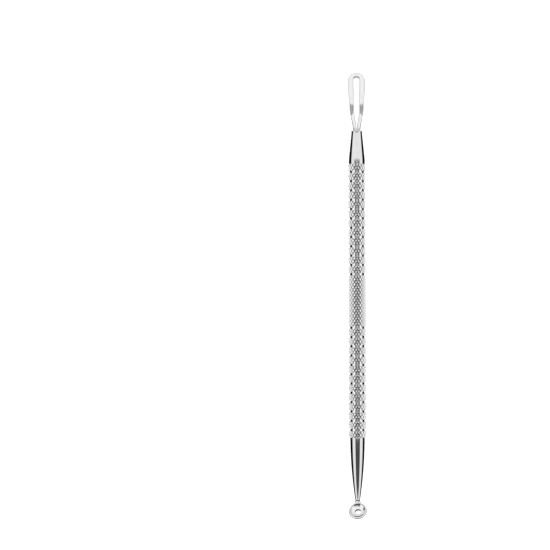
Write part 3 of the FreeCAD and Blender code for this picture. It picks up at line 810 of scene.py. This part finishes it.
def polished_steel(name, tone, finish, grain, with_painted_shade=False):
    """Mirror polish with patches from handling and a fine grain, with painted shade where its points are
    marked so.
    """
    steel = Finish(name)
    steel.set(Metallic=1.0)
    patches = steel.noise(HANDLING_PATCHES)
    fine = steel.noise(grain, detail=2.0)
    skin = steel.patchy(patches, tone)
    # Painted shade: the near-black tone is mixed in where the points are marked
    if with_painted_shade:
        skin = steel.mix(steel.attribute("painted_shade"), skin, tuple(finish.painted_shade))
    steel.feed("Base Color", skin)
    rough = steel.spread(patches, low=0.35, high=0.75, to_low=finish.gloss,
                         to_high=finish.gloss * PATCH_ROUGHNESS)
    steel.feed("Roughness", rough)
    steel.bump(fine, POLISH_HEIGHT)
    return steel.material


def knurled_steel(finish):
    """Bright crests over valleys darkened with painted shade, by the knurl's own height, with a fine turned
    grain.
    """
    steel = Finish("knurled_steel")
    steel.set(Metallic=1.0)
    height = steel.attribute("knurl_height")
    fine = steel.noise(GRIP_GRAIN, detail=2.0)
    top = steel.patchy(steel.noise(GRIP_PATCHES), finish.bright)
    # Painted shade: the valleys are darkened by the knurl's height
    open_up = steel.spread(height, low=0.0, high=0.4)
    steel.feed("Base Color", steel.mix(open_up, tuple(finish.painted_valley_shade), top))
    rough = steel.spread(height, low=0.1, high=0.8, to_low=finish.gloss * VALLEY_ROUGHNESS,
                         to_high=finish.gloss * CREST_ROUGHNESS)
    steel.feed("Roughness", rough)
    steel.bump(fine, GRIP_GRAIN_HEIGHT)
    return steel.material


def dull_filler(finish):
    """Filler metal with a grainy, slightly tarnished face."""
    filler = Finish("joint_filler")
    filler.set(Metallic=1.0)
    grains = filler.noise(FILLER_GRAIN, detail=4.0)
    tarnish = filler.spread(filler.noise(FILLER_TARNISH), low=0.4, high=0.7)
    dark = darker(finish.solder, TARNISH_SHARE)
    filler.feed("Base Color", filler.mix(tarnish, tuple(finish.solder), dark))
    filler.feed("Roughness", filler.spread(grains, low=0.3, high=0.7, to_low=0.28, to_high=0.5))
    filler.bump(grains, FILLER_GRAIN_HEIGHT)
    return filler.material


def white_table(stage):
    """Matt white table that glows a little, so that it stays white under the tool."""
    table = Finish("white_table")
    table.set(Roughness=0.9, Specular_IOR_Level=0.0, Emission_Color=(1.0, 1.0, 1.0, 1.0),
              Emission_Strength=stage.glow)
    cloud = table.noise(TABLE_CLOUDS)
    table.feed("Base Color", table.mix(cloud, tuple(stage.table), darker(stage.table, CLOUD_SHARE)))
    return table.material


def dress(piece, material, node):
    """Give a piece its finish, let it stand for its node and ride on the tool."""
    piece.data.materials.append(material)
    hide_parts(node)
    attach(piece, "root")


# Light

# Smooth steps between dark and light, in degrees from straight up
GAP_ACROSS = (32.0, 42.0)
GAP_TO_CUP = (-28.0, -20.0)
GAP_TO_LOOP = (5.0, 13.0)
LENS_ACROSS = (10.0, 32.0)
LENS_ALONG = (-7.0, -2.0)
SIDE_FROM_UP = (81.0, 94.0)

# A smooth step in degrees from the tool's axis, seen from above
SIDE_FROM_AXIS = (55.0, 67.0)

# Smooth steps in the height of a ray of unit length, and in its run towards the loop
HORIZON = (-0.2, 0.1)
STRAIGHT_DOWN = (-0.97, -0.8)
LOOP_SIDE = (0.1, 0.5)

# Shares of light
GAP_DARKNESS = 0.92
LENS_LIGHT = 0.38
SIDE_DARKNESS = 0.985
LOWER_SHADE = 0.6
LOOP_SIDE_LIGHT = 0.5
STRAIGHT_DOWN_LIGHT = 0.15
SEEN_LIGHT = 0.95


class SoftBox:
    """World light worked out from the direction of a ray, with node helpers."""

    def __init__(self, name):
        world = bpy.data.worlds.new(name)
        bpy.context.scene.world = world
        world.use_nodes = True
        self.tree = world.node_tree
        self.tree.nodes.clear()

    def add(self, kind):
        """A new node of a kind."""
        return self.tree.nodes.new(kind)

    def link(self, source, socket):
        """Link a value to a node's socket."""
        self.tree.links.new(source, socket)

    def math(self, operation, *values):
        """A math node on sockets or plain numbers."""
        node = self.add("ShaderNodeMath")
        node.operation = operation
        for socket, value in zip(node.inputs, values):
            if isinstance(value, bpy.types.NodeSocket):
                self.link(value, socket)
            else:
                socket.default_value = value
        return node.outputs[0]

    def degrees(self, radians):
        """An angle in degrees."""
        return self.math("DEGREES", radians)

    def less(self, value):
        """What is left of one."""
        return self.math("SUBTRACT", 1.0, value)

    def step(self, value, low, high):
        """Smooth step of a value from 0 at low to 1 at high."""
        node = self.add("ShaderNodeMapRange")
        node.interpolation_type = "SMOOTHSTEP"
        self.link(value, node.inputs["Value"])
        node.inputs["From Min"].default_value = low
        node.inputs["From Max"].default_value = high
        return node.outputs["Result"]


def light_room(stage):
    """White surround with a dark gap overhead, where the camera looks in, dark sides and a shaded lower half.

    The gap is a window in the two angles from straight up, across and along the tool, and less dark round
    the lens. The sides are dark past a set angle from straight up, but only well across the tool. The lower
    half is shaded, less so towards the loop, and nearly dark straight down. The camera itself sees plain
    white.
    """
    room = SoftBox("white_room")
    coords = room.add("ShaderNodeTexCoord")
    split = room.add("ShaderNodeSeparateXYZ")
    room.link(coords.outputs["Generated"], split.inputs[0])
    x, y, z = split.outputs
    off_x = room.degrees(room.math("ABSOLUTE", room.math("ARCTAN2", x, z)))
    off_y = room.degrees(room.math("ARCTAN2", y, z))
    sideways = room.degrees(room.math("ARCTAN2", room.math("ABSOLUTE", x), room.math("ABSOLUTE", y)))
    gap_end = room.less(room.step(off_y, *GAP_TO_LOOP))
    gap_along = room.math("MULTIPLY", room.step(off_y, *GAP_TO_CUP), gap_end)
    gap = room.math("MULTIPLY", room.less(room.step(off_x, *GAP_ACROSS)), gap_along)
    lens = room.math("MULTIPLY", room.less(room.step(off_x, *LENS_ACROSS)), room.step(off_y, *LENS_ALONG))
    depth = room.math("MULTIPLY_ADD", lens, -LENS_LIGHT, GAP_DARKNESS)
    side = room.math("MULTIPLY", room.step(off_x, *SIDE_FROM_UP), room.step(sideways, *SIDE_FROM_AXIS))
    shade = room.math("MULTIPLY_ADD", room.step(y, *LOOP_SIDE), -LOOP_SIDE_LIGHT, LOWER_SHADE)
    lower = room.math("MULTIPLY", room.less(room.step(z, *HORIZON)), shade)
    above_floor = room.step(z, *STRAIGHT_DOWN)
    bright = room.math("MULTIPLY_ADD", above_floor, 1.0 - STRAIGHT_DOWN_LIGHT, STRAIGHT_DOWN_LIGHT)
    bright = room.math("MULTIPLY", bright, room.less(room.math("MULTIPLY", gap, depth)))
    bright = room.math("MULTIPLY", bright, room.less(room.math("MULTIPLY", side, SIDE_DARKNESS)))
    bright = room.math("MULTIPLY", bright, room.less(lower))
    bright = room.math("MULTIPLY", bright, stage.level)
    seen = room.add("ShaderNodeLightPath").outputs["Is Camera Ray"]
    unseen = room.math("MULTIPLY", bright, room.less(seen))
    background = room.add("ShaderNodeBackground")
    room.link(room.math("MULTIPLY_ADD", seen, SEEN_LIGHT, unseen), background.inputs["Strength"])
    output = room.add("ShaderNodeOutputWorld")
    room.link(background.outputs[0], output.inputs["Surface"])


# Operators

class ToolPart:
    """What every operator here shares."""
    bl_options = {"REGISTER", "UNDO"}

    @staticmethod
    def settings(context):
        return context.scene.blackhead_extractor


class EXTRACTOR_OT_grip(ToolPart, Operator):
    """Build the knurled grip tube with its ring grooves"""
    bl_idname = "extractor.grip"
    bl_label = "Knurled grip"

    def execute(self, context):
        settings = self.settings(context)
        grid, height, cross_cut = knurled_tube(settings.grip)
        piece = skinned("grip_skin", [(grid, True)], sharp=28.0, cross_cut=cross_cut)
        mark(piece, "knurl_height", height)
        dress(piece, knurled_steel(settings.finish), "knurled_grip")
        return {"FINISHED"}


class EXTRACTOR_OT_ferrules(ToolPart, Operator):
    """Build the short ferrule at the loop and the long one at the cup"""
    bl_idname = "extractor.ferrules"
    bl_label = "Ferrules"

    def execute(self, context):
        settings = self.settings(context)
        finish = settings.finish
        material = polished_steel("turned_steel", finish.steel, finish, TURNED_GRAIN)
        for node, outline in (("loop_ferrule", loop_ferrule_outline), ("cup_ferrule", cup_ferrule_outline)):
            grid = turned(outline(settings.ferrule), FERRULE_COLUMNS)
            dress(skinned(f"{node}_skin", [(grid, False)]), material, node)
        return {"FINISHED"}


class EXTRACTOR_OT_loop(ToolPart, Operator):
    """Build the hairpin of wire that is flattened and bent at the loop"""
    bl_idname = "extractor.loop"
    bl_label = "Wire loop"

    def execute(self, context):
        settings = self.settings(context)
        finish = settings.finish
        material = polished_steel("drawn_wire", finish.bright, finish, DRAWN_GRAIN, with_painted_shade=True)
        grid, painted_shade = wire_tube(settings.loop)
        piece = skinned("wire_loop_skin", [(grid, False)])
        mark(piece, "painted_shade", painted_shade)
        dress(piece, material, "wire_loop")
        return {"FINISHED"}


class EXTRACTOR_OT_cup(ToolPart, Operator):
    """Build the dished cup with its hole, neck and stem"""
    bl_idname = "extractor.cup"
    bl_label = "Extractor cup"

    def execute(self, context):
        settings = self.settings(context)
        dish, painted_shade = cup_dish(settings.cup)
        grids = [(dish, True), (cup_neck(settings.cup, settings.ferrule), False)]
        piece = skinned("cup_skin", grids)
        mark(piece, "painted_shade", painted_shade)
        finish = settings.finish
        material = polished_steel("cup_steel", finish.bright, finish, CUP_GRAIN, with_painted_shade=True)
        dress(piece, material, "extractor_cup")
        return {"FINISHED"}


class EXTRACTOR_OT_filler(ToolPart, Operator):
    """Build the filler metal in the joints of the loop and of the cup"""
    bl_idname = "extractor.filler"
    bl_label = "Joint filler"

    def execute(self, context):
        settings = self.settings(context)
        material = dull_filler(settings.finish)
        plug = skinned("loop_filler", [(loop_filler(settings.loop, settings.ferrule), False)])
        dress(plug, material, "loop_solder")
        ring = skinned("cup_filler", [(cup_filler(settings.cup, settings.ferrule), True)])
        dress(ring, material, "cup_solder")
        return {"FINISHED"}


class EXTRACTOR_OT_stage(ToolPart, Operator):
    """Lay the white table, light it softly and set the camera straight above"""
    bl_idname = "extractor.stage"
    bl_label = "Table, light and camera"

    def execute(self, context):
        stage = self.settings(context).stage
        reach = 3.0  # metres from the tool to each edge of the table
        corners = np.array([(-1, -1, 0), (1, -1, 0), (1, 1, 0), (-1, 1, 0)]) * reach
        mesh = bpy.data.meshes.new("table")
        mesh.from_pydata(corners, [], [(0, 1, 2, 3)])
        mesh.materials.append(white_table(stage))
        table = bpy.data.objects.new("table", mesh)
        table.visible_glossy = False
        context.scene.collection.objects.link(table)
        light_room(stage)
        camera = bpy.data.cameras.new("camera")
        camera.sensor_width = 36.0
        camera.lens = camera.sensor_width * stage.distance / stage.view_width
        camera.clip_start = 0.01
        stand = bpy.data.objects.new("camera", camera)
        stand.location = (stage.aim_x, stage.aim_y, AXIS_HEIGHT + stage.distance)
        stand.rotation_euler = (0.0, 0.0, stage.lean)
        context.scene.collection.objects.link(stand)
        context.scene.camera = stand
        context.scene.view_settings.view_transform = "Standard"
        return {"FINISHED"}


class EXTRACTOR_PT_sidebar(Panel):
    """Lists the pieces of the extractor"""
    bl_label = "Blackhead extractor"
    bl_space_type = "VIEW_3D"
    bl_region_type = "UI"
    bl_category = "Extractor"

    def draw(self, context):
        for operator in OPERATORS:
            self.layout.operator(operator.bl_idname)


OPERATORS = (EXTRACTOR_OT_grip, EXTRACTOR_OT_ferrules, EXTRACTOR_OT_loop, EXTRACTOR_OT_cup,
             EXTRACTOR_OT_filler, EXTRACTOR_OT_stage)
CLASSES = (GripSettings, FerruleSettings, LoopSettings, CupSettings, FinishSettings, StageSettings,
           ExtractorSettings, *OPERATORS, EXTRACTOR_PT_sidebar)


def register():
    for item in CLASSES:
        bpy.utils.register_class(item)
    bpy.types.Scene.blackhead_extractor = PointerProperty(type=ExtractorSettings)


def unregister():
    del bpy.types.Scene.blackhead_extractor
    for item in reversed(CLASSES):
        bpy.utils.unregister_class(item)


def main():
    register()
    bpy.ops.extractor.grip()
    bpy.ops.extractor.ferrules()
    bpy.ops.extractor.loop()
    bpy.ops.extractor.cup()
    bpy.ops.extractor.filler()
    bpy.ops.extractor.stage()


if __name__ == "__main__":
    main()
